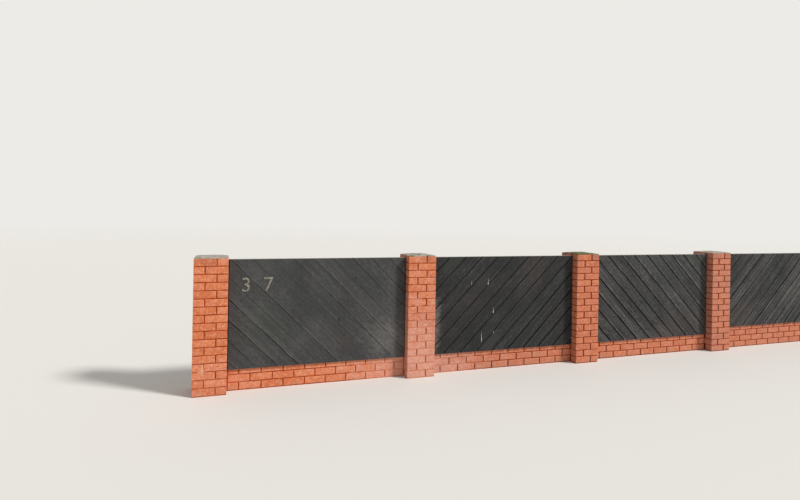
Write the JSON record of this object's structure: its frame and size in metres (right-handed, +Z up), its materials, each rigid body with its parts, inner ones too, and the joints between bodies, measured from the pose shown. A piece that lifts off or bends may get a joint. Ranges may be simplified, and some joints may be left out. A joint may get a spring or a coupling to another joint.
{
  "type": "brick garden wall with slanting timber panels",
  "caption": "Straight garden wall of square brick piers on level ground, with low brick plinths and panels of dark boards laid on the slant in alternating directions.",
  "frame": {"origin": "ground level, at the middle of the wall's length and of its depth", "axes": "+X along the wall, +Z up, the boarded front faces -Y"},
  "size_m": [9.95, 0.35, 1.484],
  "materials": {
    "brickwork": "fired clay bricks, sanded face, in tinted mortar",
    "cement_capping": "trowelled cement mortar, weathered",
    "stained_boards": "planed softwood, near-black stain, weathered",
    "framing_timber": "sawn softwood, near-black stain"
  },
  "bodies": {
    "root": {"pier_1": "brickwork", "pier_2": "brickwork", "pier_3": "brickwork", "pier_4": "brickwork", "pier_5": "brickwork", "pier_cap_1": "cement_capping", "pier_cap_2": "cement_capping", "pier_cap_3": "cement_capping", "pier_cap_4": "cement_capping", "pier_cap_5": "cement_capping", "plinth_1": "brickwork", "plinth_2": "brickwork", "plinth_3": "brickwork", "plinth_4": "brickwork", "board_panel_1": "stained_boards", "board_panel_2": "stained_boards", "board_panel_3": "stained_boards", "board_panel_4": "stained_boards", "top_rail_1": "framing_timber", "top_rail_2": "framing_timber", "top_rail_3": "framing_timber", "top_rail_4": "framing_timber", "middle_rail_1": "framing_timber", "middle_rail_2": "framing_timber", "middle_rail_3": "framing_timber", "middle_rail_4": "framing_timber", "bottom_rail_1": "framing_timber", "bottom_rail_2": "framing_timber", "bottom_rail_3": "framing_timber", "bottom_rail_4": "framing_timber", "left_batten_1": "framing_timber", "left_batten_2": "framing_timber", "left_batten_3": "framing_timber", "left_batten_4": "framing_timber", "right_batten_1": "framing_timber", "right_batten_2": "framing_timber", "right_batten_3": "framing_timber", "right_batten_4": "framing_timber"}
  },
  "joints": []
}
